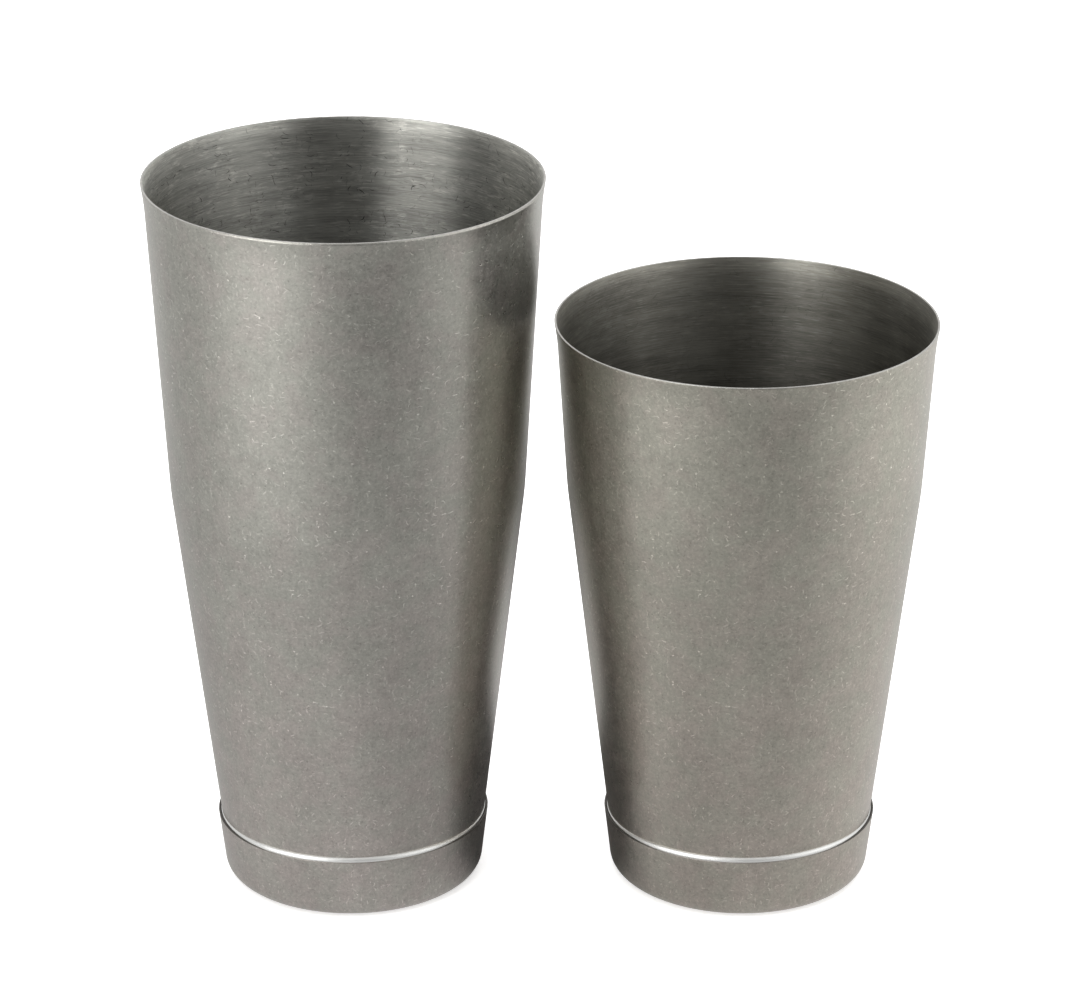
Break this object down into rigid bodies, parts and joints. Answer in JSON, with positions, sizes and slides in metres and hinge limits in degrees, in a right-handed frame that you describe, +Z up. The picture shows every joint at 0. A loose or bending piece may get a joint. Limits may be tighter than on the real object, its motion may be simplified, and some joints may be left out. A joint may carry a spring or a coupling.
{
  "type": "cocktail shaker set",
  "caption": "Weighted cocktail shaker in bare tumbled stainless steel: a tall tin and a shorter tin with flared open mouths, each with a welded base cap.",
  "frame": {"origin": "on the surface that the tins stand on, in the middle of the pair's outline", "axes": "+X from the large tin to the small tin, +Z up out of the mouths, -Y the front"},
  "size_m": [0.1824, 0.092, 0.1726],
  "materials": {
    "tin_steel": "tumbled satin stainless steel with fine flecks and hairline scratches",
    "weld_steel": "smooth bright weld bead",
    "weight_steel": "plain rolled mild steel",
    "bond": "matt set adhesive"
  },
  "bodies": {
    "large_tin": {"large_tin_shell": "tin_steel", "large_tin_base_cap": "tin_steel", "large_tin_weight_disc": "weight_steel", "large_tin_bond_pad": "bond", "large_tin_seam_weld": "weld_steel"},
    "small_tin": {"small_tin_shell": "tin_steel", "small_tin_base_cap": "tin_steel", "small_tin_weight_disc": "weight_steel", "small_tin_bond_pad": "bond", "small_tin_seam_weld": "weld_steel"}
  },
  "joints": [
    {"name": "small_tin_lift", "type": "slide", "parent": "large_tin", "child": "small_tin", "axis": [0, 0, 1], "range_m": [0, 0.19]}
  ]
}
